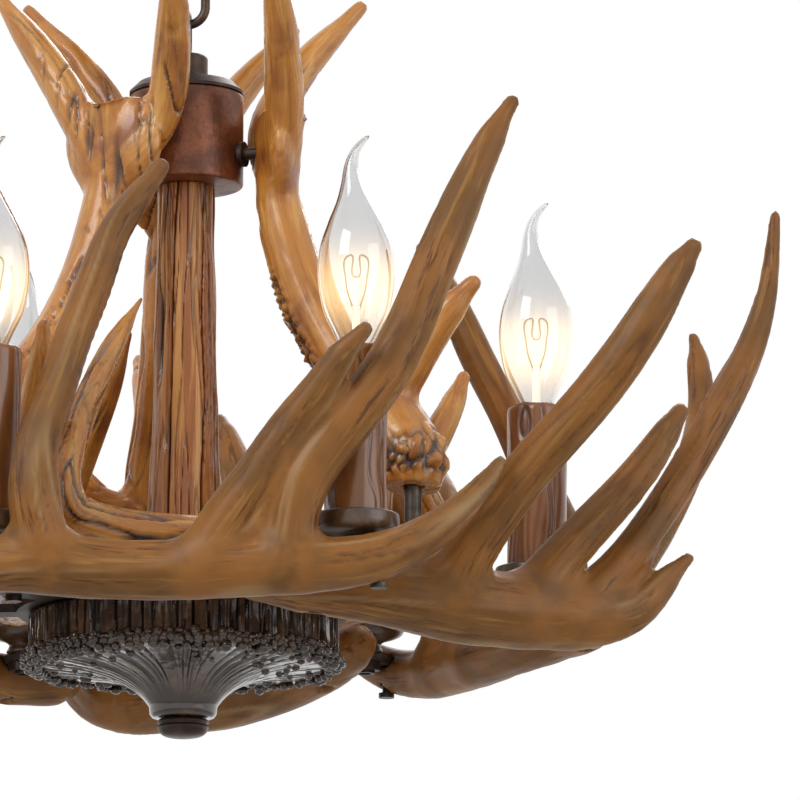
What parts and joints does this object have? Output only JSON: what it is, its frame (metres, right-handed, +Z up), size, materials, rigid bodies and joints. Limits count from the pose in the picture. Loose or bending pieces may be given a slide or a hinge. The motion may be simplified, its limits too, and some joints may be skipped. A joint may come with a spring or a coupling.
{
  "type": "antler chandelier",
  "caption": "Chandelier of interlocking antlers round a bark column, with candle-style lamps on drip cups, hung from a ceiling canopy by a short chain.",
  "frame": {"origin": "middle of the ceiling strap's top face, midway between its two screw holes, on the ceiling", "axes": "+Z up into the ceiling, so the chandelier hangs below zero; +X to the right of the picture and along the two screw holes; the picture looks along +Y from slightly below"},
  "size_m": [0.5268, 0.5117, 0.5241],
  "materials": {
    "antler_matte": "matte tan and olive-brown antler with fine lengthwise grain",
    "antler_gloss": "glossy amber antler with dark cracks and wrinkles",
    "bark_resin": "glossy dark bark with deep upright grooves",
    "burr_resin": "dark glossy ribs and beads",
    "cup_resin": "dark brown, satin to glossy",
    "sleeve_resin": "glossy red-brown bark",
    "hub_paint": "red-brown, hammered",
    "bronze_paint": "dark bronze paint",
    "plate_paint": "dark brown paint",
    "strap_steel": "zinc-plated steel",
    "plain_steel": "dark plated steel",
    "socket_plastic": "dark moulded lamp holder",
    "contact_brass": "bare",
    "cap_metal": "rolled screw cap",
    "bulb_glass": "clear glass, lit from inside"
  },
  "bodies": {
    "ceiling": {"ceiling_strap": "strap_steel", "ceiling_canopy": "bronze_paint", "canopy_nut": "bronze_paint", "canopy_loop": "bronze_paint"},
    "link_1": {"chain_link_1": "bronze_paint"},
    "link_2": {"chain_link_2": "bronze_paint"},
    "link_3": {"chain_link_3": "bronze_paint"},
    "link_4": {"chain_link_4": "bronze_paint"},
    "fixture": {"hub_loop": "bronze_paint", "hub_cap": "bronze_paint", "hub_drum": "hub_paint", "hub_bosses": "bronze_paint", "stem_pipe": "plain_steel", "bark_column": "bark_resin", "spider_plate": "plate_paint", "burr_drum": "burr_resin", "burr_plate": "burr_resin", "finial_nut": "bronze_paint", "upright_pins": "plain_steel", "antler_screws": "plain_steel", "lamp_nipples": "plain_steel", "lamp_nuts": "plain_steel", "drip_cups": "cup_resin", "lamp_sockets": "socket_plastic", "candle_sleeves": "sleeve_resin", "low_antler_1": "antler_matte", "spread_antler_1": "antler_matte", "upright_antler_1": "antler_gloss", "inner_antler_1": "antler_gloss", "low_antler_2": "antler_matte", "spread_antler_2": "antler_matte", "upright_antler_2": "antler_gloss", "inner_antler_2": "antler_gloss", "low_antler_3": "antler_matte", "spread_antler_3": "antler_matte", "upright_antler_3": "antler_gloss", "inner_antler_3": "antler_gloss"},
    "bulb_lift_1": {"bulb_contact_1": "contact_brass"},
    "bulb_1": {"bulb_cap_1": "cap_metal", "bulb_glass_1": "bulb_glass"},
    "bulb_lift_2": {"bulb_contact_2": "contact_brass"},
    "bulb_2": {"bulb_cap_2": "cap_metal", "bulb_glass_2": "bulb_glass"},
    "bulb_lift_3": {"bulb_contact_3": "contact_brass"},
    "bulb_3": {"bulb_cap_3": "cap_metal", "bulb_glass_3": "bulb_glass"},
    "bulb_lift_4": {"bulb_contact_4": "contact_brass"},
    "bulb_4": {"bulb_cap_4": "cap_metal", "bulb_glass_4": "bulb_glass"},
    "bulb_lift_5": {"bulb_contact_5": "contact_brass"},
    "bulb_5": {"bulb_cap_5": "cap_metal", "bulb_glass_5": "bulb_glass"},
    "bulb_lift_6": {"bulb_contact_6": "contact_brass"},
    "bulb_6": {"bulb_cap_6": "cap_metal", "bulb_glass_6": "bulb_glass"}
  },
  "joints": [
    {"name": "link_1_swing", "type": "hinge", "parent": "ceiling", "child": "link_1", "pos_m": [0, 0, -0.0638], "axis": [1, 0, 0], "range_deg": [-15, 15]},
    {"name": "link_2_swing", "type": "hinge", "parent": "link_1", "child": "link_2", "pos_m": [0, 0, -0.0935], "axis": [0, 1, 0], "range_deg": [-15, 15]},
    {"name": "link_3_swing", "type": "hinge", "parent": "link_2", "child": "link_3", "pos_m": [0, 0, -0.1232], "axis": [1, 0, 0], "range_deg": [-15, 15]},
    {"name": "link_4_swing", "type": "hinge", "parent": "link_3", "child": "link_4", "pos_m": [0, 0, -0.1529], "axis": [0, 1, 0], "range_deg": [-15, 15]},
    {"name": "fixture_swing", "type": "hinge", "parent": "link_4", "child": "fixture", "pos_m": [0, 0, -0.1826], "axis": [1, 0, 0], "range_deg": [-15, 15]},
    {"name": "bulb_lift_1", "type": "slide", "parent": "fixture", "child": "bulb_lift_1", "axis": [0, 0, 1], "range_m": [0, 0.00988]},
    {"name": "bulb_turn_1", "type": "hinge", "parent": "bulb_lift_1", "child": "bulb_1", "pos_m": [0.16499, -0.00144, -0.4], "axis": [0, 0, 1], "range_deg": [0, 1260]},
    {"name": "bulb_lift_2", "type": "slide", "parent": "fixture", "child": "bulb_lift_2", "axis": [0, 0, 1], "range_m": [0, 0.00988]},
    {"name": "bulb_turn_2", "type": "hinge", "parent": "bulb_lift_2", "child": "bulb_2", "pos_m": [0.08374, 0.14217, -0.4], "axis": [0, 0, 1], "range_deg": [0, 1260]},
    {"name": "bulb_lift_3", "type": "slide", "parent": "fixture", "child": "bulb_lift_3", "axis": [0, 0, 1], "range_m": [0, 0.00988]},
    {"name": "bulb_turn_3", "type": "hinge", "parent": "bulb_lift_3", "child": "bulb_3", "pos_m": [-0.08125, 0.14361, -0.4], "axis": [0, 0, 1], "range_deg": [0, 1260]},
    {"name": "bulb_lift_4", "type": "slide", "parent": "fixture", "child": "bulb_lift_4", "axis": [0, 0, 1], "range_m": [0, 0.00988]},
    {"name": "bulb_turn_4", "type": "hinge", "parent": "bulb_lift_4", "child": "bulb_4", "pos_m": [-0.16499, 0.00144, -0.4], "axis": [0, 0, 1], "range_deg": [0, 1260]},
    {"name": "bulb_lift_5", "type": "slide", "parent": "fixture", "child": "bulb_lift_5", "axis": [0, 0, 1], "range_m": [0, 0.00988]},
    {"name": "bulb_turn_5", "type": "hinge", "parent": "bulb_lift_5", "child": "bulb_5", "pos_m": [-0.08374, -0.14217, -0.4], "axis": [0, 0, 1], "range_deg": [0, 1260]},
    {"name": "bulb_lift_6", "type": "slide", "parent": "fixture", "child": "bulb_lift_6", "axis": [0, 0, 1], "range_m": [0, 0.00988]},
    {"name": "bulb_turn_6", "type": "hinge", "parent": "bulb_lift_6", "child": "bulb_6", "pos_m": [0.08125, -0.14361, -0.4], "axis": [0, 0, 1], "range_deg": [0, 1260]}
  ],
  "couplings": [
    {"joint": "bulb_lift_1", "follows": "bulb_turn_1", "m_per_rad": 0.00044882},
    {"joint": "bulb_lift_2", "follows": "bulb_turn_2", "m_per_rad": 0.00044882},
    {"joint": "bulb_lift_3", "follows": "bulb_turn_3", "m_per_rad": 0.00044882},
    {"joint": "bulb_lift_4", "follows": "bulb_turn_4", "m_per_rad": 0.00044882},
    {"joint": "bulb_lift_5", "follows": "bulb_turn_5", "m_per_rad": 0.00044882},
    {"joint": "bulb_lift_6", "follows": "bulb_turn_6", "m_per_rad": 0.00044882}
  ]
}
